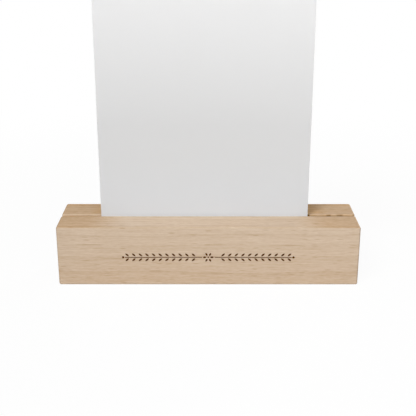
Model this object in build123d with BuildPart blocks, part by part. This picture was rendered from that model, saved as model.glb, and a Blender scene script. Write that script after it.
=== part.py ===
from build123d import *
import os

os.makedirs("parts", exist_ok=True)

# Wooden photo block holder, in millimetres
# A solid beech block lies on a table, and a stiff card stands upright in the saw slot along its top.
# The origin is the middle of the block's underside. +Z is up, and the engraved front faces -Y.

# Beech block
block_length = 150 * MM
block_depth = 35 * MM
block_height = 31 * MM
edge_radius = 0.9 * MM

# Stiff card, A6 in upright format, standing a little left of the block's middle
card_width = 105 * MM
card_height = 148 * MM
card_thickness = 2 * MM
card_shift = -2 * MM

# Saw slot along the whole top, open at both ends
# The card stands on its floor, with the same clearance before and behind it.
card_clearance = 0.2 * MM
slot_depth = 12 * MM
mouth_radius = 0.9 * MM
slot_width = card_thickness + 2 * card_clearance
slot_floor = block_height - slot_depth

# Leaf border engraved across the front
# A small flower stands in the middle. A straight stem with paired leaves runs from it to each side
# and ends in a bud.
border_length = 86 * MM
border_height_share = 0.485
engraving_depth = 0.3 * MM
stem_width = 0.4 * MM
leaf_length = 2.5 * MM
leaf_width = 1 * MM
leaf_angle = 40
leaf_pitch = 3.3 * MM
leaf_gap = 0.3 * MM
bud_radius = 0.65 * MM
petal_count = 6
petal_length = 1.9 * MM
petal_width = 1 * MM
flower_eye_radius = 0.45 * MM
flower_gap = 0.4 * MM

# Cutters reach this far past the surfaces that they cut
cut_overrun = 1 * MM

# Places along the border, measured from its middle
flower_radius = flower_eye_radius + flower_gap + petal_length
stem_start = flower_radius + flower_gap
stem_end = border_length / 2 - 2 * bud_radius - leaf_gap
leaf_rise = stem_width / 2 + leaf_gap
leaf_reach = leaf_length * 0.8
leaf_count = int((stem_end - stem_start - leaf_reach) / leaf_pitch) + 1
first_leaf = stem_end - leaf_reach - (leaf_count - 1) * leaf_pitch


def pointed_leaf(length, width):
    """A leaf outline that lies along +X from the origin, with a point at each end."""
    with BuildSketch(mode=Mode.PRIVATE) as leaf:
        with BuildLine():
            ThreePointArc((0, 0), (length / 2, width / 2), (length, 0))
            ThreePointArc((length, 0), (length / 2, -width / 2), (0, 0))
        make_face()
    return leaf.sketch


# Block, with every edge eased by sanding
with BuildPart() as holder_block:
    with BuildSketch(Plane.YZ) as block_section:
        Rectangle(block_depth, block_height, align=(Align.CENTER, Align.MIN))
    extrude(amount=block_length / 2, both=True)
    fillet(holder_block.edges(), radius=edge_radius)

    # Slot, whose mouth edges and end edges are eased as one run
    with BuildSketch(Plane.YZ) as slot_section:
        with Locations((0, slot_floor)):
            Rectangle(slot_width, slot_depth + cut_overrun, align=(Align.CENTER, Align.MIN))
    extrude(amount=block_length / 2 + cut_overrun, both=True, mode=Mode.SUBTRACT)
    lengthwise = holder_block.edges().filter_by(Axis.X)
    slot_edges = lengthwise.filter_by_position(Axis.Y, -slot_width / 2, slot_width / 2)
    fillet(slot_edges.group_by(Axis.Z)[-1], radius=mouth_radius)

    # Engraved leaf border, drawn to the right of the flower and mirrored
    front = Plane(
        origin=(0, -block_depth / 2, block_height * border_height_share),
        x_dir=(1, 0, 0),
        z_dir=(0, -1, 0),
    )
    with BuildSketch(front) as leaf_border:
        for leaf_number in range(leaf_count):
            with Locations((first_leaf + leaf_number * leaf_pitch, leaf_rise)):
                add(pointed_leaf(leaf_length, leaf_width), rotation=leaf_angle)
        mirror(about=Plane.XZ)
        with Locations(((stem_start + stem_end) / 2, 0)):
            Rectangle(stem_end - stem_start, stem_width)
        with Locations((border_length / 2 - bud_radius, 0)):
            Circle(bud_radius)
        mirror(about=Plane.YZ)
        Circle(flower_eye_radius)
        with PolarLocations(flower_eye_radius + flower_gap, petal_count):
            add(pointed_leaf(petal_length, petal_width))
    extrude(amount=-engraving_depth, mode=Mode.SUBTRACT)

holder_block.part.label = "holder_block"

# Card, standing on the floor of the slot
with BuildPart() as photo_card:
    with BuildSketch(Plane.XY.offset(slot_floor)) as card_footprint:
        with Locations((card_shift, 0)):
            Rectangle(card_width, card_thickness)
    extrude(amount=card_height)

photo_card.part.label = "photo_card"

for piece in (holder_block, photo_card):
    export_step(piece.part, f"parts/{piece.part.label}.step")
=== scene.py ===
"""Looks of the wooden photo block holder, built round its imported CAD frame.

A sanded beech block lies on a pale studio floor. A stiff blank card stands upright in the saw slot
along its top, and a leaf border is engraved across its front. Lengths are in metres and angles in
degrees, +Z is up, and the engraved front faces -Y.
"""

import logging
import math
from collections.abc import Callable
from dataclasses import dataclass
from enum import Enum

import bmesh
import bpy
from mathutils import Matrix, Vector


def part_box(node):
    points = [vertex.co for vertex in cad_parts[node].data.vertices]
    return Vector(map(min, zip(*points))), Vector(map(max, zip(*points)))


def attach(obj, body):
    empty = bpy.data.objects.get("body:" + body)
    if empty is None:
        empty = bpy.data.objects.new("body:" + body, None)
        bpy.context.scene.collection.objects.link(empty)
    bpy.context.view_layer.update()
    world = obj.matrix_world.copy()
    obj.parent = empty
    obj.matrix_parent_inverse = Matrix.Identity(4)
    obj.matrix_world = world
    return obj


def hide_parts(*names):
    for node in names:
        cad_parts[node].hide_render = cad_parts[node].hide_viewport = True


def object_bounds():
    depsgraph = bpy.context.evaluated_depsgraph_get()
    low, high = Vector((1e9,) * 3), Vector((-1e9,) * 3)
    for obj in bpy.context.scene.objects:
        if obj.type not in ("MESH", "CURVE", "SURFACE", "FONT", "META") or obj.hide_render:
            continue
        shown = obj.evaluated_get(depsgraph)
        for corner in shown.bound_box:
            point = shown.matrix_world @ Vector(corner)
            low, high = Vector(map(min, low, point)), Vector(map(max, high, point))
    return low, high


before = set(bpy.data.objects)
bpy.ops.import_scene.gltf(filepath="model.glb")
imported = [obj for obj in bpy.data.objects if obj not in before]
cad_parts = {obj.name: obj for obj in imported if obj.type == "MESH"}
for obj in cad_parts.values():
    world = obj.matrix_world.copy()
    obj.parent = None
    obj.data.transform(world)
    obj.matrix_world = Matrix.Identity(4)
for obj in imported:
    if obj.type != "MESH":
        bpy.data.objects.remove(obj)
CAD_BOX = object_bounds()

MM = 0.001
LOG = logging.getLogger("photo_block_holder")

Piece = bpy.types.Object
Tree = bpy.types.NodeTree
Socket = bpy.types.NodeSocket
Material = bpy.types.Material
Triple = tuple[float, float, float]

# Tolerances, wide and narrow, for finding edges and faces by their middles
NEAR = 0.1 * MM
SNUG = 0.01 * MM

# The bevel profile that is an arc
ARC = 0.5

# Noise patterns vary round this value
NOISE_MIDDLE = 0.5

WHITE = (1.0, 1.0, 1.0, 1.0)

# Settings of math nodes that multiply, subtract and take the larger value
TIMES = {"operation": "MULTIPLY"}
LESS = {"operation": "SUBTRACT"}
LARGER = {"operation": "MAXIMUM"}

# Sockets of the Mix node when it mixes colours
MIX_A, MIX_B, MIX_RESULT = 6, 7, 2


class Body(Enum):
    """The two bodies of the frame that pieces ride on."""

    BLOCK = "block"
    CARD = "card"


class Cut(Enum):
    """How one piece is cut by another."""

    REMOVE = "DIFFERENCE"
    KEEP_SHARED = "INTERSECT"


class Part(Enum):
    """The parts of a mesh that an edit picks."""

    CORNERS = "VERT"
    EDGES = "EDGE"


class Blend(Enum):
    """How a tint is laid over a colour: as paint over it, or as a filter that darkens it."""

    PAINT = "MIX"
    FILTER = "MULTIPLY"


class Face(Enum):
    """The finishes of the block, by the number of their material."""

    SANDED = 0
    SAWN = 1
    SCORCHED = 2


# Helpers for modelling


def alone(piece: Piece) -> None:
    """Deselects everything, then selects and activates one piece.

    Args:
        piece: The object that the next operators act on.
    """
    bpy.ops.object.select_all(action="DESELECT")
    piece.select_set(True)
    bpy.context.view_layer.objects.active = piece


def settle(piece: Piece) -> None:
    """Moves a piece's place, turn and scale into its mesh, so its object sits at the origin."""
    alone(piece)
    bpy.ops.object.transform_apply(location=True, rotation=True, scale=True)


def added(name: str) -> Piece:
    """Names the primitive that was just added, and settles it.

    Args:
        name: The object's new name.

    Returns:
        The primitive's object.
    """
    piece = bpy.context.active_object
    piece.name = piece.data.name = name
    settle(piece)
    return piece


def box(name: str, low: Vector, high: Vector) -> Piece:
    """Adds a box.

    Args:
        name: The object's name.
        low: Its corner at the lowest X, Y and Z.
        high: Its corner at the highest X, Y and Z.

    Returns:
        The box.
    """
    bpy.ops.object.select_all(action="DESELECT")
    bpy.ops.mesh.primitive_cube_add(size=1, location=(low + high) / 2, scale=high - low)
    return added(name)


def disc(name: str, radius: float, low: float, high: float, sides: int) -> Piece:
    """Adds an upright cylinder round the Z axis.

    Args:
        name: The object's name.
        radius: Its radius.
        low: The height of its lower end.
        high: The height of its upper end.
        sides: How many sides stand for its round.

    Returns:
        The cylinder.
    """
    bpy.ops.object.select_all(action="DESELECT")
    bpy.ops.mesh.primitive_cylinder_add(
        vertices=sides, radius=radius, depth=high - low, location=(0, 0, (low + high) / 2)
    )
    return added(name)


def in_edit_mode(piece: Piece, kind: Part, test: Callable[[Vector], bool]) -> None:
    """Opens a piece in edit mode with only some of its corners or edges selected.

    Args:
        piece: The object to open.
        kind: Whether corners or edges are selected.
        test: Says of a corner, or of an edge's middle, whether it is selected.
    """
    alone(piece)
    bpy.ops.object.mode_set(mode="EDIT")
    bpy.ops.mesh.select_mode(type=kind.value)
    bpy.ops.mesh.select_all(action="DESELECT")
    mesh = bmesh.from_edit_mesh(piece.data)
    if kind is Part.CORNERS:
        for corner in mesh.verts:
            corner.select_set(test(corner.co))
    else:
        for edge in mesh.edges:
            start, end = edge.verts
            edge.select_set(test((start.co + end.co) / 2))
    mesh.select_flush_mode()
    bmesh.update_edit_mesh(piece.data)


def finish_modifier(piece: Piece, kind: str, **settings: object) -> None:
    """Adds a modifier to a piece and applies it.

    Args:
        piece: The object that is modified.
        kind: The modifier's type.
        **settings: Its properties.
    """
    alone(piece)
    modifier = piece.modifiers.new(kind.lower(), kind)
    for name, value in settings.items():
        setattr(modifier, name, value)
    bpy.ops.object.modifier_apply(modifier=modifier.name)


def carve(piece: Piece, tool: Piece, how: Cut) -> None:
    """Cuts a piece with a tool, which is then removed."""
    finish_modifier(piece, "BOOLEAN", object=tool, operation=how.value, solver="EXACT")
    bpy.data.objects.remove(tool, do_unlink=True)


def copied(piece: Piece, place: Vector, turn: float = 0.0) -> Piece:
    """Copies a flat tool to another place, turned about the Z axis, with a mesh of its own.

    Args:
        piece: The object to copy.
        place: Where the copy's origin goes.
        turn: Its turn in radians.

    Returns:
        The copy.
    """
    twin = piece.copy()
    twin.data = piece.data.copy()
    bpy.context.scene.collection.objects.link(twin)
    twin.matrix_world = Matrix.Translation(place) @ Matrix.Rotation(turn, 4, "Z")
    settle(twin)
    return twin


def joined(pieces: list[Piece], name: str) -> Piece:
    """Joins several objects into the first of them.

    Args:
        pieces: The objects.
        name: The new name of what they make.

    Returns:
        The joined object.
    """
    alone(pieces[0])
    for piece in pieces:
        piece.select_set(True)
    bpy.ops.object.join()
    pieces[0].name = name
    return pieces[0]


def shade(piece: Piece, angle: float) -> None:
    """Shades a piece smooth over its eased edges and flat over its wide faces.

    Args:
        piece: The object to shade.
        angle: Edges that turn by more than this many degrees stay sharp.
    """
    alone(piece)
    bpy.ops.object.shade_smooth_by_angle(angle=math.radians(angle))
    finish_modifier(piece, "WEIGHTED_NORMAL", keep_sharp=True)


# Helpers for materials


def linear(colour: str) -> tuple[float, float, float, float]:
    """Turns an sRGB hex colour into the linear values that a shader takes.

    Args:
        colour: A colour such as "#C8A888".

    Returns:
        Red, green, blue and an alpha of 1.
    """
    shares = [int(colour[i : i + 2], 16) / 255 for i in (1, 3, 5)]
    red, green, blue = (
        share / 12.92 if share <= 0.04045 else ((share + 0.055) / 1.055) ** 2.4
        for share in shares
    )
    return red, green, blue, 1.0


def node(
    tree: Tree, kind: str, settings: dict | None = None, links: dict | None = None
) -> bpy.types.NodeOutputs:
    """Adds a shader node with its settings and links.

    Args:
        tree: The node tree to add it to.
        kind: The node's type without its "ShaderNode".
        settings: Values by input name or number, or by property name.
        links: Output sockets by the input name or number that they feed.

    Returns:
        The node's output sockets, by name or number.
    """
    made = tree.nodes.new("ShaderNode" + kind)
    for key, value in (settings or {}).items():
        if isinstance(key, str) and key not in made.inputs:
            setattr(made, key, value)
    for key, value in (settings or {}).items():
        if not isinstance(key, str) or key in made.inputs:
            made.inputs[key].default_value = value
    for key, source in (links or {}).items():
        tree.links.new(source, made.inputs[key])
    return made.outputs


def axes(tree: Tree, kind: str = "Object") -> bpy.types.NodeOutputs:
    """Adds the X, Y and Z of a place on the object, or of another kind of coordinate."""
    return node(tree, "SeparateXYZ", links={"Vector": node(tree, "TexCoord")[kind]})


def blank(name: str) -> tuple[Material, Tree]:
    """Makes a material with an empty node tree.

    Args:
        name: The material's name.

    Returns:
        The material and its node tree.
    """
    material = bpy.data.materials.new(name)
    material.use_nodes = True
    material.node_tree.nodes.clear()
    return material, material.node_tree


@dataclass(frozen=True)
class Ramp:
    """A change from low to high as what it follows goes from start to end, straight or soft."""

    start: float
    end: float
    low: float = 0.0
    high: float = 1.0
    soft: bool = False

    @property
    def settings(self) -> dict:
        """What a Map Range node takes to follow the ramp."""
        kind = "SMOOTHSTEP" if self.soft else "LINEAR"
        return {"interpolation_type": kind, 1: self.start, 2: self.end, 3: self.low, 4: self.high}


@dataclass(frozen=True)
class Tint:
    """A colour that is laid over another, and how much of it at most."""

    colour: str
    weight: float = 1.0


def tinted(
    tree: Tree, colour: Socket | str, tints: list[tuple[Socket, Tint]], how: Blend = Blend.PAINT
) -> Socket:
    """Lays tints over a colour, one after the other.

    Args:
        tree: The node tree to add them to.
        colour: The colour below them, as a socket or in sRGB hex.
        tints: How much of each tint a place gets, and the tint.
        how: How they are laid over it.

    Returns:
        The tinted colour.
    """
    for share, tint in tints:
        if tint.weight != 1:
            share = node(tree, "Math", TIMES | {1: tint.weight}, {0: share})[0]
        settings = {"data_type": "RGBA", "blend_type": how.value, MIX_B: linear(tint.colour)}
        links = {"Factor": share}
        if isinstance(colour, str):
            settings[MIX_A] = linear(colour)
        else:
            links[MIX_A] = colour
        colour = node(tree, "Mix", settings, links)[MIX_RESULT]
    return colour


@dataclass(frozen=True)
class Finish:
    """How a surface shines, and how strong and how deep the fine relief is that roughens it."""

    roughness: float
    specular: float
    relief: float
    depth: float
    ior: float = 1.5

    def close(self, tree: Tree, colour: Socket, height: Socket) -> None:
        """Ends a material with its shader.

        Args:
            tree: The material's node tree.
            colour: The surface's colour.
            height: The height of its fine relief, of which 1 is the full depth.
        """
        relief = {"Strength": self.relief, "Distance": self.depth}
        normal = node(tree, "Bump", relief, {"Height": height})[0]
        gloss = {"Roughness": self.roughness, "Specular IOR Level": self.specular, "IOR": self.ior}
        links = {"Base Color": colour, "Normal": normal}
        shader = node(tree, "BsdfPrincipled", gloss, links)[0]
        node(tree, "OutputMaterial", links={"Surface": shader})


# Patterns


@dataclass(frozen=True)
class Trunk:
    """Where the block lay in the tree, which sets how its grain runs.

    The trunk ran along X. Its growth layers are shells round the pith line, and they sway a little
    along their length.
    """

    pith: Triple = (0, 62 * MM, -14 * MM)
    sway: float = 1.2 * MM
    sway_length: float = 70 * MM
    sway_width: float = 30 * MM

    def space(self, tree: Tree) -> Socket:
        """Adds the nodes that say where a point of the block lay in the trunk.

        Args:
            tree: The node tree to add them to.

        Returns:
            A vector: along the trunk, round the layer, and out from the pith, in metres.
        """
        place = node(tree, "TexCoord")["Object"]
        scale = (1 / self.sway_length, 1 / self.sway_width, 1 / self.sway_width)
        bend = node(tree, "Mapping", {"Scale": scale}, {"Vector": place})[0]
        bend = node(tree, "TexNoise", {"Scale": 1, "Detail": 2}, {"Vector": bend})["Color"]
        middle = (NOISE_MIDDLE,) * 3
        bend = node(tree, "VectorMath", LESS | {1: middle}, {0: bend})[0]
        swing = (0, 2 * self.sway, 2 * self.sway)
        bend = node(tree, "VectorMath", TIMES | {1: swing}, {0: bend})[0]
        moved = node(tree, "VectorMath", LESS | {1: self.pith}, {0: place})[0]
        moved = node(tree, "VectorMath", {"operation": "ADD"}, {0: moved, 1: bend})[0]
        parts = node(tree, "SeparateXYZ", links={"Vector": moved})
        flat = node(tree, "CombineXYZ", links={"Y": parts["Y"], "Z": parts["Z"]})[0]
        out = node(tree, "VectorMath", {"operation": "LENGTH"}, {0: flat})["Value"]
        facing = node(tree, "Math", TIMES | {1: -1}, {0: parts["Y"]})[0]
        turn = node(tree, "Math", {"operation": "ARCTAN2"}, {0: parts["Z"], 1: facing})[0]
        radius = math.hypot(*self.pith)
        around = node(tree, "Math", TIMES | {1: radius}, {0: turn})[0]
        return node(tree, "CombineXYZ", links={"X": parts["X"], "Y": around, "Z": out})[0]


@dataclass(frozen=True)
class Streak:
    """A pattern of soft streaks, with the size of one streak in metres.

    Real fibres and pores are under 0.1 mm wide, and are drawn as coarse as they need to show.
    """

    length: float
    width: float
    depth: float
    detail: float = 2

    def add(self, tree: Tree, place: Socket) -> Socket:
        """Adds the pattern.

        Args:
            tree: The node tree to add it to.
            place: The place that it follows, in the trunk or on the object.

        Returns:
            A value round the middle of the noise.
        """
        scale = (1 / self.length, 1 / self.width, 1 / self.depth)
        place = node(tree, "Mapping", {"Scale": scale}, {"Vector": place})[0]
        return node(tree, "TexNoise", {"Scale": 1, "Detail": self.detail}, {"Vector": place})["Fac"]


@dataclass(frozen=True)
class Show:
    """How strongly a pattern shows: on upright faces, on level ones, and added under the painted
    warm shade.
    """

    upright: float
    level: float
    under_warm_shade: float = 0.0


@dataclass(frozen=True)
class Layers:
    """The growth layers, each of which darkens slowly and ends in a thin broken line.

    The ramps of the late wood and of the line follow the share of a layer's width.
    """

    width: float = 2.4 * MM
    first: float = 87.2 * MM
    late: Ramp = Ramp(0.3, 1.0, soft=True)
    line: Ramp = Ramp(0.84, 0.97, soft=True)
    breaks: Streak = Streak(16 * MM, 3 * MM, 3 * MM)
    broken: Ramp = Ramp(0.5, 0.68)

    def add(self, tree: Tree, wood: Socket) -> tuple[Socket, Socket]:
        """Adds the layers.

        Args:
            tree: The node tree to add them to.
            wood: The place in the trunk.

        Returns:
            How far the late wood has darkened, and the line at its end.
        """
        out = node(tree, "SeparateXYZ", links={"Vector": wood})["Z"]
        out = node(tree, "Math", LESS | {1: self.first}, {0: out})[0]
        count = node(tree, "Math", {"operation": "DIVIDE", 1: self.width}, {0: out})[0]
        layer = node(tree, "Math", {"operation": "FRACT"}, {0: count})[0]
        late, line, broken = (
            node(tree, "MapRange", ramp.settings, {"Value": source})[0]
            for ramp, source in (
                (self.late, layer),
                (self.line, layer),
                (self.broken, self.breaks.add(tree, wood)),
            )
        )
        line = node(tree, "Math", TIMES, {0: line, 1: broken})[0]
        return late, line


@dataclass(frozen=True)
class Rays:
    """The dashes where the wood's rays meet the surface, with the room of one dash in metres.

    They are common low on the front and rare above, and rarity is the share that is left out. The
    lens ramp follows the distance from the middle of a dash, as a share of its room.
    """

    length: float = 6 * MM
    width: float = 0.7 * MM
    depth: float = 1.5 * MM
    rarity: Ramp = Ramp(82 * MM, 88 * MM, low=0.08, high=0.5)
    lens: Ramp = Ramp(0.42, 0.12, soft=True)

    def add(self, tree: Tree, wood: Socket) -> Socket:
        """Adds the dashes.

        Args:
            tree: The node tree to add them to.
            wood: The place in the trunk.

        Returns:
            0 between the dashes and up to 1 on them.
        """
        scale = (1 / self.length, 1 / self.width, 1 / self.depth)
        cell = node(tree, "Mapping", {"Scale": scale}, {"Vector": wood})[0]
        cells = node(tree, "TexVoronoi", {"Scale": 1}, {"Vector": cell})
        out = node(tree, "SeparateXYZ", links={"Vector": wood})["Z"]
        rare = node(tree, "MapRange", self.rarity.settings, {"Value": out})[0]
        chance = node(tree, "SeparateColor", links={"Color": cells["Color"]})[0]
        chance = node(tree, "MapRange", links={"Value": chance, "From Min": rare})[0]
        lens = node(tree, "MapRange", self.lens.settings, {"Value": cells["Distance"]})[0]
        return node(tree, "Math", TIMES, {0: lens, 1: chance})[0]


@dataclass(frozen=True)
class Vein:
    """The one thin mineral vein at the left of the front, by its middle and its half sizes."""

    middle: Triple = (-59 * MM, -17.5 * MM, 21.8 * MM)
    reach: Triple = (11 * MM, 3 * MM, 0.35 * MM)
    fade: Ramp = Ramp(1.0, 0.2, soft=True)

    def add(self, tree: Tree) -> Socket:
        """Adds the vein.

        Args:
            tree: The node tree to add it to.

        Returns:
            1 in the middle of the vein, fading to 0 at its edges.
        """
        away = node(tree, "TexCoord")["Object"]
        for change, amount in (("SUBTRACT", self.middle), ("DIVIDE", self.reach)):
            away = node(tree, "VectorMath", {"operation": change, 1: amount}, {0: away})[0]
        away = node(tree, "VectorMath", {"operation": "LENGTH"}, {0: away})["Value"]
        return node(tree, "MapRange", self.fade.settings, {"Value": away})[0]


@dataclass(frozen=True)
class Mouth:
    """The slot's eased mouth. Its lip ramp follows the distance from the middle of the slot."""

    lip: Ramp = Ramp(1.7 * MM, 1.35 * MM)
    base: float = 29 * MM

    def add(self, tree: Tree) -> Socket:
        """Adds the place of the mouth.

        Args:
            tree: The node tree to add it to.

        Returns:
            1 within the mouth and 0 elsewhere.
        """
        place = axes(tree)
        aside = node(tree, "Math", {"operation": "ABSOLUTE"}, {0: place["Y"]})[0]
        near = node(tree, "MapRange", self.lip.settings, {"Value": aside})[0]
        above = node(tree, "Math", {"operation": "GREATER_THAN", 1: self.base}, {0: place["Z"]})[0]
        return node(tree, "Math", TIMES, {0: near, 1: above})[0]


@dataclass(frozen=True)
class SlotSpot:
    """A dark spot at a place along the slot.

    The first is a painted shadow at the card's right foot, the others dark spots further right. The
    core is the share of its reach where the spot is at its full strength.
    """

    place: float
    reach: float
    strength: float
    core: float = 0.3

    def add(self, tree: Tree, along: Socket) -> Socket:
        """Adds the spot.

        Args:
            tree: The node tree to add it to.
            along: The place along the slot.

        Returns:
            How dark the spot makes the wood, from 0.
        """
        away = node(tree, "Math", LESS | {1: self.place}, {0: along})[0]
        away = node(tree, "Math", {"operation": "ABSOLUTE"}, {0: away})[0]
        slot_shade_and_spots = Ramp(self.reach, self.core * self.reach, high=self.strength, soft=True)
        return node(tree, "MapRange", slot_shade_and_spots.settings, {"Value": away})[0]


@dataclass(frozen=True)
class SlotShadeAndSpots:
    """Marks on the slot's upper walls.

    A golden tone lies in blotches along the right end. A painted shadow darkens them at the card's
    right foot, and dark spots mark them further right. The blotches ramp makes the marks uneven,
    and the upper and right ramps follow Z and X.
    """

    streak: Streak = Streak(3.2 * MM, 1.1 * MM, 1.1 * MM)
    blotches: Ramp = Ramp(0.35, 0.65, low=0.6)
    upper: Ramp = Ramp(24 * MM, 28 * MM)
    right: Ramp = Ramp(48.5 * MM, 50.5 * MM)
    shadow_and_spots: tuple[SlotSpot, ...] = (
        # The first spot is a painted shadow at the card's right foot
        SlotSpot(50.9 * MM, 1.3 * MM, 1.4),
        SlotSpot(61.6 * MM, 1.7 * MM, 0.6),
        SlotSpot(67.2 * MM, 2.3 * MM, 0.55),
        SlotSpot(74.6 * MM, 1.4 * MM, 0.6),
    )

    def add(self, tree: Tree, wood: Socket) -> tuple[Socket, Socket]:
        """Adds the marks.

        Args:
            tree: The node tree to add them to.
            wood: The place in the trunk.

        Returns:
            How much golden tone the wood has, and how dark the painted shadow and spots make it,
            each from 0 for clean wood.
        """
        place = axes(tree)
        spots, upper, toasted = (
            node(tree, "MapRange", ramp.settings, {"Value": source})[0]
            for ramp, source in (
                (self.blotches, self.streak.add(tree, wood)),
                (self.upper, place["Z"]),
                (self.right, place["X"]),
            )
        )
        spots = node(tree, "Math", TIMES, {0: spots, 1: upper})[0]
        burnt, *others = (spot.add(tree, place["X"]) for spot in self.shadow_and_spots)
        for other in others:
            burnt = node(tree, "Math", LARGER, {0: burnt, 1: other})[0]
        toasted, burnt = (
            node(tree, "Math", TIMES, {0: spots, 1: share})[0] for share in (toasted, burnt)
        )
        return toasted, burnt


@dataclass(frozen=True)
class PaintedLight:
    """Painted light and shade on the block's top and back.

    The ramps follow how level a place is, its distance from the middle along the block, and its Y.
    """

    level: Ramp = Ramp(0.2, 0.75)
    beside_card: Ramp = Ramp(41 * MM, 62 * MM, soft=True)
    behind_slot: Ramp = Ramp(-1 * MM, 1 * MM)
    within_card: Ramp = Ramp(62 * MM, 51 * MM)
    past_lip: Ramp = Ramp(1.9 * MM, 3.2 * MM)
    back_edge: Ramp = Ramp(12 * MM, 17 * MM, high=0.7)
    front_edge: Ramp = Ramp(-15.6 * MM, -16.3 * MM)
    most_at_ends: Ramp = Ramp(0.0, 1.0, low=0.35)

    def add(self, tree: Tree) -> tuple[Socket, Socket, Socket]:
        """Adds the painted light and shade.

        Args:
            tree: The node tree to add it to.

        Returns:
            How much painted warm shade a place gets: the back, and the top but for the strip before
                the
            card, which stays pale as if the card lit it. Then how much deeper its tone is: a
            painted golden tone of the card's shadow on the strip behind the card, and a deeper tone
            along the top's back edge. Then how much painted shade darkens the top along its front
            edge, most of all at its ends.
        """
        place, facing = axes(tree), axes(tree, "Normal")
        aside = node(tree, "Math", {"operation": "ABSOLUTE"}, {0: place["X"]})[0]
        level, beside, behind, within, past, back, front = (
            node(tree, "MapRange", ramp.settings, {"Value": source})[0]
            for ramp, source in (
                (self.level, facing["Z"]),
                (self.beside_card, aside),
                (self.behind_slot, place["Y"]),
                (self.within_card, aside),
                (self.past_lip, place["Y"]),
                (self.back_edge, place["Y"]),
                (self.front_edge, place["Y"]),
            )
        )
        # Painted warm shade on the back, and on the top but for the strip before the card
        lit = node(tree, "Math", LARGER, {0: beside, 1: behind})[0]
        kind = {"operation": "MULTIPLY_ADD", "use_clamp": True}
        painted_warm_shade = node(tree, "Math", kind, {0: level, 1: lit, 2: facing["Y"]})[0]
        # Painted golden tone of the card's shadow, on the strip behind the card
        card_shadow_zone = node(tree, "Math", TIMES, {0: within, 1: past})[0]
        deep = node(tree, "Math", LARGER, {0: card_shadow_zone, 1: back})[0]
        ends = node(tree, "MapRange", self.most_at_ends.settings, {"Value": beside})[0]
        # Painted shade on the top's front edge
        painted_edge_shade = node(tree, "Math", TIMES, {0: front, 1: ends})[0]
        deep, painted_edge_shade = (
            node(tree, "Math", TIMES, {0: share, 1: level})[0] for share in (deep, painted_edge_shade)
        )
        return painted_warm_shade, deep, painted_edge_shade


# Materials


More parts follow.
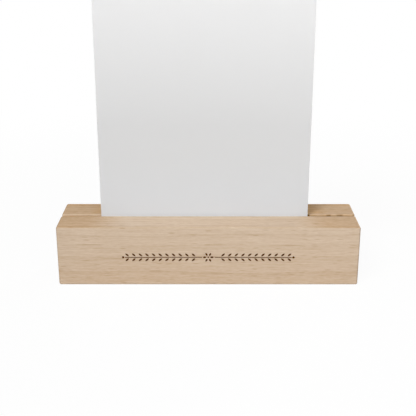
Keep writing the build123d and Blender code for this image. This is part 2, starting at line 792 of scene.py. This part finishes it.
@dataclass(frozen=True)
class SteamedBeech:
    """Steamed beech, planed and fine sanded, left almost raw.

    To the eye it is a pale, even, pinkish tan. Faint growth layers show as soft bands that end in
    thin broken lines, and the ends of the wood's rays as short brown dashes along the grain. It has
    hardly any shine. Painted light tints its back and top darker and warmer, as if warm light came
    from behind, but for the strip before the card, which stays pale as if the card lit it. A
    painted golden tone colours the card's shadow behind it, painted shade darkens the top along its
    front edge, and a painted highlight lightens the slot's lip.
    """

    name: str = "steamed_beech"
    pale: str = "#DCC9B4"
    deep: Tint = Tint("#C8AE92")
    line: Tint = Tint("#A07A52", 0.38)
    ray: Tint = Tint("#A27B4E", 0.36)
    mineral: Tint = Tint("#A07A52", 0.5)
    # A painted highlight on the slot's eased lip
    painted_lip_highlight: Tint = Tint("#EAD2B0", 0.4)
    # Painted light: top and back darker and warmer as if lit from behind; the strip before the card
    # stays pale
    painted_warm_shade: Tint = Tint("#FBEFDE")
    # Painted golden tone of the card's shadow on the strip behind it, and a deeper tone on the back
    # edge
    deeper: Tint = Tint("#FFF1D4")
    # Painted shade on the rounding of the top's front edge, most at its ends
    painted_edge_shade: Tint = Tint("#F3ECE2")
    # A golden tone in blotches along the slot's right part
    toasted: Tint = Tint("#DAAE30", 0.4)
    # Painted shadow at the card's foot, with the slot's dark spots, on the lip
    shadow_and_spot_tint: Tint = Tint("#A0893F")
    end_tone: Tint = Tint("#D8CCC0")
    finish: Finish = Finish(roughness=0.6, specular=0.08, relief=0.3, depth=0.03 * MM)

    trunk: Trunk = Trunk()
    layers: Layers = Layers()
    rays: Rays = Rays()
    vein: Vein = Vein()
    mouth: Mouth = Mouth()
    slot_shade_and_spots: SlotShadeAndSpots = SlotShadeAndSpots()
    painted_light: PaintedLight = PaintedLight()

    band: Streak = Streak(70 * MM, 6 * MM, 0.9 * MM)
    fibre: Streak = Streak(14 * MM, 0.35 * MM, 0.35 * MM, 3)
    pore: Streak = Streak(2.6 * MM, 0.4 * MM, 0.4 * MM, 1)
    late_show: Show = Show(0.25, 0.25)
    band_show: Show = Show(0.35, 1.3)
    fibre_show: Show = Show(1.5, 1.8, 0.7)
    pore_show: Show = Show(0.95, 1.4, 0.7)
    low_down: Ramp = Ramp(25 * MM, 2 * MM, high=0.35)
    tones: Ramp = Ramp(-0.67, 0.63)
    ray_dip: float = -0.6

    def tone(
        self, tree: Tree, streaks: list[tuple[Socket, Show]], painted_warm_shade: Socket, level: Socket
    ) -> Socket:
        """Adds how deep the wood's tone is.

        It is deeper low on the block, and varied by all that runs along the grain. The top cuts
        across the growth layers, so they show more there than on the front, and the grain shows
        more where the painted warm shade lies.

        Args:
            tree: The node tree to add it to.
            streaks: What runs along the grain, and how strongly each shows.
            painted_warm_shade: How much painted warm shade a place has.
            level: How level it is, from 0 for upright to 1.

        Returns:
            0 for the palest tone and 1 for the deepest.
        """
        tone = node(tree, "MapRange", self.low_down.settings, {"Value": axes(tree)["Z"]})[0]
        add = {"operation": "MULTIPLY_ADD"}
        for streak, show in streaks:
            by_slope = Ramp(0.0, 1.0, show.upright, show.level)
            strength = node(tree, "MapRange", by_slope.settings, {"Value": level})[0]
            strength = node(tree, "Math", add | {1: show.under_warm_shade}, {0: painted_warm_shade, 2: strength})[0]
            streak = node(tree, "Math", LESS | {1: NOISE_MIDDLE}, {0: streak})[0]
            tone = node(tree, "Math", add, {0: streak, 1: strength, 2: tone})[0]
        return node(tree, "MapRange", self.tones.settings, {"Value": tone})[0]

    def make(self) -> Material:
        """Builds the material.

        Returns:
            The material.
        """
        material, tree = blank(self.name)
        facing = node(tree, "TexCoord")["Normal"]
        slope = node(tree, "VectorMath", TIMES, {0: facing, 1: facing})[0]
        slope = node(tree, "SeparateXYZ", links={"Vector": slope})
        wood = self.trunk.space(tree)
        late, line = self.layers.add(tree, wood)
        ray = self.rays.add(tree, wood)
        fibre = self.fibre.add(tree, wood)
        painted_warm_shade, deep, painted_edge_shade = self.painted_light.add(tree)
        streaks = [
            (late, self.late_show),
            (self.band.add(tree, wood), self.band_show),
            (fibre, self.fibre_show),
            (self.pore.add(tree, wood), self.pore_show),
        ]
        tone = self.tone(tree, streaks, painted_warm_shade, slope["Z"])
        mouth = self.mouth.add(tree)
        # The slot's golden blotches, and its painted shadow at the card's foot with its dark spots
        golden_blotches, lip_shadow_and_spots = (
            node(tree, "Math", TIMES, {0: mouth, 1: mark})[0] for mark in self.slot_shade_and_spots.add(tree, wood)
        )

        # The mouth's tint is a painted highlight on the slot's lip
        marks = [
            (tone, self.deep),
            (line, self.line),
            (ray, self.ray),
            (self.vein.add(tree), self.mineral),
            (mouth, self.painted_lip_highlight),
        ]
        colour = tinted(tree, self.pale, marks)

        # Painted light and shade: warm shade on the top and back, a golden tone in the card's
        # shadow, and shade on the front edge. Then the slot's golden blotches, the painted shadow
        # at the card's foot with the slot's dark spots, and the cut ends, which look darker
        light_and_marks = [
            (painted_warm_shade, self.painted_warm_shade),
            (deep, self.deeper),
            (painted_edge_shade, self.painted_edge_shade),
            (golden_blotches, self.toasted),
            (lip_shadow_and_spots, self.shadow_and_spot_tint),
            (slope["X"], self.end_tone),
        ]
        colour = tinted(tree, colour, light_and_marks, Blend.FILTER)
        dip = {"operation": "MULTIPLY_ADD", 1: self.ray_dip}
        height = node(tree, "Math", dip, {0: ray, 2: fibre})[0]
        self.finish.close(tree, colour, height)
        return material


@dataclass(frozen=True)
class SawnBeech:
    """Beech as the saw left it: darker than the sanded faces, fuzzy, with the saw's own marks.

    Its dark tint lays the painted shadow at the card's foot and the dark spots over the walls.
    """

    name: str = "sawn_beech"
    pale: str = "#CCA06A"
    # Laid over the walls for the painted shadow at the card's foot and the dark spots
    burnt: Tint = Tint("#5C3A1A")
    finish: Finish = Finish(roughness=0.8, specular=0.1, relief=0.6, depth=0.12 * MM)
    trunk: Trunk = Trunk()
    slot_shade_and_spots: SlotShadeAndSpots = SlotShadeAndSpots()
    fibre: Streak = Streak(9 * MM, 0.5 * MM, 0.5 * MM, 3)
    mark_share: float = 0.25

    # Both walls have the same tooth marks, which have no end across the slot
    teeth: Streak = Streak(1.1 * MM, math.inf, 4.4 * MM)

    def make(self) -> Material:
        """Builds the material.

        Returns:
            The material.
        """
        material, tree = blank(self.name)
        wood = self.trunk.space(tree)
        fibre = self.fibre.add(tree, wood)
        golden_blotches, share = self.slot_shade_and_spots.add(tree, wood)
        add = {"operation": "MULTIPLY_ADD", 1: self.mark_share, "use_clamp": True}
        for mark in (golden_blotches, fibre):
            share = node(tree, "Math", add, {0: mark, 2: share})[0]
        colour = tinted(tree, self.pale, [(share, self.burnt)])
        teeth = self.teeth.add(tree, node(tree, "TexCoord")["Object"])
        height = node(tree, "Math", {"operation": "ADD"}, {0: teeth, 1: fibre})[0]
        self.finish.close(tree, colour, height)
        return material


@dataclass(frozen=True)
class ScorchedBeech:
    """Beech burnt by a laser: a dull dark brown floor, streaked by the wood's layers."""

    name: str = "scorched_beech"
    burnt: str = "#4C2A10"
    toasted: Tint = Tint("#7D4E22")
    finish: Finish = Finish(roughness=0.9, specular=0.05, relief=0.5, depth=0.05 * MM)
    trunk: Trunk = Trunk()
    streak: Streak = Streak(2 * MM, 0.2 * MM, 0.2 * MM, 3)
    lighter: Ramp = Ramp(0.35, 0.75)

    def make(self) -> Material:
        """Builds the material.

        Returns:
            The material.
        """
        material, tree = blank(self.name)
        streak = self.streak.add(tree, self.trunk.space(tree))
        streak = node(tree, "MapRange", self.lighter.settings, {"Value": streak})[0]
        self.finish.close(tree, tinted(tree, self.burnt, [(streak, self.toasted)]), streak)
        return material


@dataclass(frozen=True)
class UncoatedCard:
    """Uncoated white board: matt, with a fine tooth, and a shade lighter towards its top.

    Its foot, which stands in the slot, is painted a little cooler, which cancels the warm light
    that the wood reflects onto it.
    """

    name: str = "uncoated_card"
    lower: str = "#DDDDDD"
    upper: Tint = Tint("#F7F7F7")
    # Painted light: the cooler foot cancels the warm light that the wood reflects onto it
    foot: Tint = Tint("#E3EAF2")
    finish: Finish = Finish(roughness=0.8, specular=0.25, relief=0.15, depth=0.01 * MM)
    foot_curve: float = 3

    # A real card's tooth is finer, and is drawn as coarse as it needs to show
    tooth: Streak = Streak(0.3 * MM, 0.3 * MM, 0.3 * MM)

    def make(self, foot: float, low: float, high: float) -> Material:
        """Builds the material.

        Args:
            foot: The height up to which the foot has its full tone.
            low: The height where the card starts to grow lighter.
            high: The height of its top edge.

        Returns:
            The material.
        """
        material, tree = blank(self.name)
        height = axes(tree)["Z"]
        rise, cool = (
            node(tree, "MapRange", Ramp(low, end).settings, {"Value": height})[0]
            for end in (high, foot)
        )
        cool = node(tree, "Math", {"operation": "POWER", 1: self.foot_curve}, {0: cool})[0]
        colour = tinted(tree, self.lower, [(rise, self.upper), (cool, self.foot)])
        tooth = self.tooth.add(tree, node(tree, "TexCoord")["Object"])
        self.finish.close(tree, colour, tooth)
        return material


# Sub-assemblies


@dataclass(frozen=True)
class LeafBorder:
    """The leaf border that is engraved across the front: a flower between two leafy stems.

    Each stem's last leaves are set back from its end by a share of a leaf's length.
    """

    length: float = 86 * MM
    height_share: float = 0.485
    depth: float = 0.3 * MM
    stem_width: float = 0.4 * MM
    leaf_length: float = 2.5 * MM
    leaf_width: float = 1 * MM
    leaf_angle: float = 40
    setback_share: float = 0.8
    leaf_pitch: float = 3.3 * MM
    leaf_gap: float = 0.3 * MM
    leaf_sides: int = 64
    bud_radius: float = 0.65 * MM
    bud_sides: int = 24
    petal_count: int = 6
    petal_length: float = 1.9 * MM
    petal_width: float = 1 * MM
    eye_radius: float = 0.45 * MM
    flower_gap: float = 0.4 * MM
    overrun: float = 0.5 * MM
    draft: float = 0.88

    @property
    def flower_radius(self) -> float:
        """From the flower's middle to the tips of its petals."""
        return self.eye_radius + self.flower_gap + self.petal_length

    @property
    def stem_start(self) -> float:
        """From the flower's middle to the inner end of a stem."""
        return self.flower_radius + self.flower_gap

    @property
    def stem_end(self) -> float:
        """From the flower's middle to the outer end of a stem."""
        return self.length / 2 - 2 * self.bud_radius - self.leaf_gap

    def narrowed(self, tool: Piece) -> Piece:
        """Narrows a tool towards its deep end, as the edge of a laser's burn slopes.

        Args:
            tool: The tool.

        Returns:
            The same tool.
        """
        in_edit_mode(tool, Part.CORNERS, lambda place: place.z < -self.depth / 2)
        corners = [vert.co for vert in tool.data.vertices]
        middle = sum(corners, Vector()) / len(corners)
        bpy.ops.transform.resize(
            value=(self.draft, self.draft, 1), center_override=(middle.x, middle.y, 0)
        )
        bpy.ops.object.mode_set(mode="OBJECT")
        return tool

    def dot(self, name: str, radius: float) -> Piece:
        """Models a round tool at the origin, for a bud or the flower's eye."""
        return self.narrowed(disc(name, radius, -self.depth, self.overrun, self.bud_sides))

    def leaf(self, name: str, length: float, width: float) -> Piece:
        """Models a pointed leaf as what two discs share.

        Args:
            name: The tool's name.
            length: From point to point.
            width: Across its middle.

        Returns:
            A tool that lies along +X from the origin.
        """
        radius = (length**2 + width**2) / (4 * width)
        low, high = -self.depth, self.overrun
        upper = disc(name, radius, low, high, self.leaf_sides)
        deeper, taller = low - self.overrun, high + self.overrun
        lower = disc(name + "_other", radius, deeper, taller, self.leaf_sides)
        for side, arc in ((-1, upper), (1, lower)):
            arc.location = (length / 2, side * (radius - width / 2), 0)
            settle(arc)
        carve(upper, lower, Cut.KEEP_SHARED)
        return self.narrowed(upper)

    def flower(self) -> list[Piece]:
        """Models the flower.

        Returns:
            Its eye and its ring of petals.
        """
        petal = self.leaf("border_petal", self.petal_length, self.petal_width)
        reach = self.eye_radius + self.flower_gap
        tools = [self.dot("border_eye", self.eye_radius)]
        for number in range(self.petal_count):
            turn = number * math.tau / self.petal_count
            place = Vector((math.cos(turn) * reach, math.sin(turn) * reach, 0))
            tools.append(copied(petal, place, turn))
        bpy.data.objects.remove(petal, do_unlink=True)
        return tools

    def sprig(self, side: int, stem: Piece, bud: Piece, leaf: Piece) -> list[Piece]:
        """Copies one leafy stem out of its models.

        Args:
            side: 1 for the right of the flower and -1 for the left.
            stem: The model of the right stem, in its place.
            bud: The model of a bud.
            leaf: The model of a leaf.

        Returns:
            The stem, its bud and its pairs of leaves.
        """
        leaf_rise = self.stem_width / 2 + self.leaf_gap
        last_leaf = self.stem_end - self.leaf_length * self.setback_share
        count = int((last_leaf - self.stem_start) / self.leaf_pitch) + 1
        lean = math.radians(self.leaf_angle)
        half_turn = math.pi if side < 0 else 0.0
        bud_place = Vector((side * (self.length / 2 - self.bud_radius), 0, 0))
        tools = [copied(stem, Vector(), half_turn), copied(bud, bud_place)]
        for number in range(count):
            along = last_leaf - (count - 1 - number) * self.leaf_pitch
            for up in (-1, 1):
                place = Vector((side * along, up * leaf_rise, 0))
                turn = up * lean if side > 0 else math.pi - up * lean
                tools.append(copied(leaf, place, turn))
        return tools

    def tool(self, front: Vector) -> Piece:
        """Builds the whole border as one cutting tool, against the front face.

        Args:
            front: The border's middle on the front face.

        Returns:
            The tool.
        """
        half = self.stem_width / 2
        stem = box(
            "border_stem",
            Vector((self.stem_start, -half, -self.depth)),
            Vector((self.stem_end, half, self.overrun)),
        )
        bud = self.dot("border_bud", self.bud_radius)
        leaf = self.leaf("border_leaf", self.leaf_length, self.leaf_width)
        tools = self.flower()
        for side in (-1, 1):
            tools += self.sprig(side, stem, bud, leaf)
        for model in (stem, bud, leaf):
            bpy.data.objects.remove(model, do_unlink=True)
        border = joined(tools, "border_tool")
        border.matrix_world = Matrix.Translation(front) @ Matrix.Rotation(math.pi / 2, 4, "X")
        settle(border)
        return border


@dataclass
class HolderBlock:
    """The beech block: sawn slot, eased edges and engraved front."""

    low: Vector
    high: Vector
    slot_width: float = 2.4 * MM
    slot_depth: float = 12 * MM
    ease_radius: float = 0.9 * MM
    rear_corner_radius: float = 1.6 * MM
    ease_steps: int = 6
    overrun: float = 1 * MM
    border_margin: float = 1 * MM
    sharp_angle: float = 30
    border: LeafBorder = LeafBorder()

    @property
    def slot_floor(self) -> float:
        """The height of the slot's floor."""
        return self.high.z - self.slot_depth

    @property
    def border_height(self) -> float:
        """The height of the engraved border's middle."""
        return self.low.z + (self.high.z - self.low.z) * self.border.height_share

    def is_eased(self, middle: Vector) -> bool:
        """Whether the edge with this middle is eased: all but those of the slot's floor."""
        return abs(middle.z - self.slot_floor) > NEAR

    def is_rear_corner(self, middle: Vector) -> bool:
        """Whether the edge with this middle is one of the two upright ones at the back."""
        upright = abs(middle.z - (self.low.z + self.high.z) / 2) < NEAR
        at_end = abs(middle.x) > self.high.x - NEAR
        return upright and at_end and middle.y > self.high.y - NEAR

    def sawn(self) -> Piece:
        """Cuts the block to size, saws its slot and eases its edges.

        Returns:
            The block.
        """
        block = box("beech_block", self.low, self.high)
        half = self.slot_width / 2
        saw = box(
            "saw",
            Vector((self.low.x - self.overrun, -half, self.slot_floor)),
            Vector((self.high.x + self.overrun, half, self.high.z + self.overrun)),
        )
        carve(block, saw, Cut.REMOVE)

        # Bevel weights add up: all eased edges get a share, and the rear corners the rest of 1
        share = self.ease_radius / self.rear_corner_radius
        for test, weight in ((self.is_eased, share), (self.is_rear_corner, 1 - share)):
            in_edit_mode(block, Part.EDGES, test)
            bpy.ops.transform.edge_bevelweight(value=weight)
            bpy.ops.object.mode_set(mode="OBJECT")
        finish_modifier(
            block,
            "BEVEL",
            width=self.rear_corner_radius,
            limit_method="WEIGHT",
            offset_type="OFFSET",
            segments=self.ease_steps,
            profile=ARC,
        )
        return block

    def finish_of(self, middle: Vector) -> Face:
        """Says how the wood is finished at a face.

        Args:
            middle: The face's middle.

        Returns:
            The face's finish.
        """
        in_slot = abs(middle.y) < self.slot_width / 2 + SNUG and middle.z > self.slot_floor - SNUG
        at_end = abs(middle.x) > self.high.x - SNUG
        if in_slot and not at_end:
            return Face.SAWN
        reach = self.border.flower_radius + self.border_margin
        beside = abs(middle.z - self.border_height) < reach
        within = abs(middle.x) < self.border.length / 2 + NEAR
        sunk = SNUG < middle.y - self.low.y < 2 * self.border.depth
        return Face.SCORCHED if beside and within and sunk else Face.SANDED

    def build(self) -> Piece:
        """Models and dresses the block.

        Returns:
            The finished piece.
        """
        block = self.sawn()
        front = Vector((0, self.low.y, self.border_height))
        carve(block, self.border.tool(front), Cut.REMOVE)
        block.data.materials.clear()
        for finish in (SteamedBeech(), SawnBeech(), ScorchedBeech()):
            block.data.materials.append(finish.make())
        for face in block.data.polygons:
            face.material_index = self.finish_of(face.center).value
        shade(block, self.sharp_angle)
        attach(block, Body.BLOCK.value)
        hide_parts("holder_block")
        return block


@dataclass
class PhotoCard:
    """The stiff blank card in the slot."""

    low: Vector
    high: Vector
    edge_radius: float = 0.15 * MM
    edge_steps: int = 2
    foot_height: float = 10 * MM
    plain_share: float = 0.4
    sharp_angle: float = 40

    def build(self) -> Piece:
        """Models and dresses the card.

        Returns:
            The finished piece.
        """
        card = box("blank_card", self.low, self.high)
        in_edit_mode(card, Part.EDGES, lambda middle: True)
        bpy.ops.mesh.bevel(offset=self.edge_radius, segments=self.edge_steps, profile=ARC)
        bpy.ops.object.mode_set(mode="OBJECT")
        plain = self.low.z + (self.high.z - self.low.z) * self.plain_share
        foot = self.low.z + self.foot_height
        card.data.materials.append(UncoatedCard().make(foot, plain, self.high.z))
        shade(card, self.sharp_angle)
        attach(card, Body.CARD.value)
        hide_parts("photo_card")
        return card


# Studio


@dataclass(frozen=True)
class Lamp:
    """A square soft lamp that points at the middle of the object.

    Its azimuth is to the right of the front, and its elevation above the level.
    """

    name: str
    azimuth: float
    elevation: float
    distance: float
    width: float
    power: float

    def hang(self, aim: Vector) -> None:
        """Adds the lamp.

        Args:
            aim: The point that it faces.
        """
        light = bpy.data.lights.new(self.name, "AREA")
        light.size = self.width
        light.energy = self.power
        lamp = bpy.data.objects.new(self.name, light)
        bpy.context.scene.collection.objects.link(lamp)
        around, above = math.radians(self.azimuth), math.radians(self.elevation)
        flat = math.cos(above)
        towards = Vector((math.sin(around) * flat, -math.cos(around) * flat, math.sin(above)))
        lamp.location = aim + towards * self.distance
        lamp.rotation_euler = towards.to_track_quat("Z", "Y").to_euler()


@dataclass(frozen=True)
class PhotoCamera:
    """The camera, where the photograph was taken from."""

    place: Triple = (0.46 * MM, -400.02 * MM, 179.02 * MM)
    tilt: float = 19.826
    turn: float = 0.09
    roll: float = -0.021
    focal_pixels: float = 835.5
    image_pixels: float = 416
    sensor: float = 36
    nearest: float = 0.01
    farthest: float = 20

    def set_up(self) -> None:
        """Adds the camera and makes it the scene's own."""
        data = bpy.data.cameras.new("photo_camera")
        data.sensor_width = self.sensor
        data.lens = self.focal_pixels / self.image_pixels * self.sensor
        data.clip_start, data.clip_end = self.nearest, self.farthest
        camera = bpy.data.objects.new("photo_camera", data)
        bpy.context.scene.collection.objects.link(camera)
        camera.matrix_world = (
            Matrix.Translation(self.place)
            @ Matrix.Rotation(math.radians(self.turn), 4, "Z")
            @ Matrix.Rotation(math.radians(90 - self.tilt), 4, "X")
            @ Matrix.Rotation(math.radians(self.roll), 4, "Z")
        )
        bpy.context.scene.camera = camera


@dataclass(frozen=True)
class Studio:
    """A pale floor under soft lamps, against white.

    The shadow ramp follows the distance from the middle of the floor.
    """

    floor_width: float = 12.0
    floor_gap: float = 0.05 * MM
    floor_colour: str = "#EEEEEE"
    shadow_show: Ramp = Ramp(0.12, 0.4, low=0.055, high=0.0, soft=True)
    ambient: float = 0.09
    lamps: tuple[Lamp, ...] = (
        Lamp("key_lamp", -34, 46, 5.0, 2.1, 153.0),
        Lamp("fill_lamp", 24, 40, 0.8, 0.8, 2.75),
        Lamp("rear_lamp", 145, 4, 2.0, 0.4, 24.0),
    )

    def seen(self, tree: Tree) -> Socket:
        """Adds the test for rays that should see the white background.

        Args:
            tree: The node tree to add it to.

        Returns:
            1 for camera, glossy and transmission rays, and 0 for the rest.
        """
        rays = node(tree, "LightPath")
        seen = rays["Is Camera Ray"]
        for kind in ("Is Glossy Ray", "Is Transmission Ray"):
            seen = node(tree, "Math", LARGER, {0: seen, 1: rays[kind]})[0]
        return seen

    def floor(self) -> None:
        """Lays the floor, which shows white with the object's soft shadow."""
        bpy.ops.object.select_all(action="DESELECT")
        bpy.ops.mesh.primitive_plane_add(size=self.floor_width, location=(0, 0, -self.floor_gap))
        ground = added("studio_floor")
        material, tree = blank("pale_floor")
        matt = node(tree, "BsdfDiffuse", {"Color": linear(self.floor_colour)})[0]
        pale = node(tree, "BsdfDiffuse", {"Color": WHITE})[0]
        white = node(tree, "Emission", {"Strength": 1.0})[0]

        # Seen directly, the floor is white, and pale near the object so that its shadow shows
        place = node(tree, "TexCoord")["Object"]
        away = node(tree, "VectorMath", {"operation": "LENGTH"}, {0: place})["Value"]
        share = node(tree, "MapRange", self.shadow_show.settings, {"Value": away})[0]
        shown = node(tree, "MixShader", links={0: share, 1: white, 2: pale})[0]
        shader = node(tree, "MixShader", links={0: self.seen(tree), 1: matt, 2: shown})[0]
        node(tree, "OutputMaterial", links={"Surface": shader})
        ground.data.materials.append(material)

    def world(self) -> None:
        """Sets a dim even light all round, behind which the background is white."""
        world = bpy.data.worlds.new("studio_world")
        world.use_nodes = True
        tree = world.node_tree
        tree.nodes.clear()
        dim, white = (
            node(tree, "Background", {"Color": WHITE, "Strength": strength})[0]
            for strength in (self.ambient, 1.0)
        )
        shader = node(tree, "MixShader", links={0: self.seen(tree), 1: dim, 2: white})[0]
        node(tree, "OutputWorld", links={"Surface": shader})
        bpy.context.scene.world = world

    def set_up(self, aim: Vector) -> None:
        """Sets up the floor, the world, the lamps and the camera.

        Args:
            aim: The point that the lamps face.
        """
        self.floor()
        self.world()
        for lamp in self.lamps:
            lamp.hang(aim)
        PhotoCamera().set_up()
        bpy.context.scene.view_settings.view_transform = "Standard"


def main() -> None:
    """Builds the object and the studio."""
    logging.basicConfig(level=logging.INFO, format="%(name)s: %(message)s")
    for assembly in (HolderBlock(*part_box("holder_block")), PhotoCard(*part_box("photo_card"))):
        piece = assembly.build()
        LOG.info("%s: %d faces", piece.name, len(piece.data.polygons))
    low, high = CAD_BOX
    Studio().set_up((low + high) / 2)


if __name__ == "__main__":
    main()
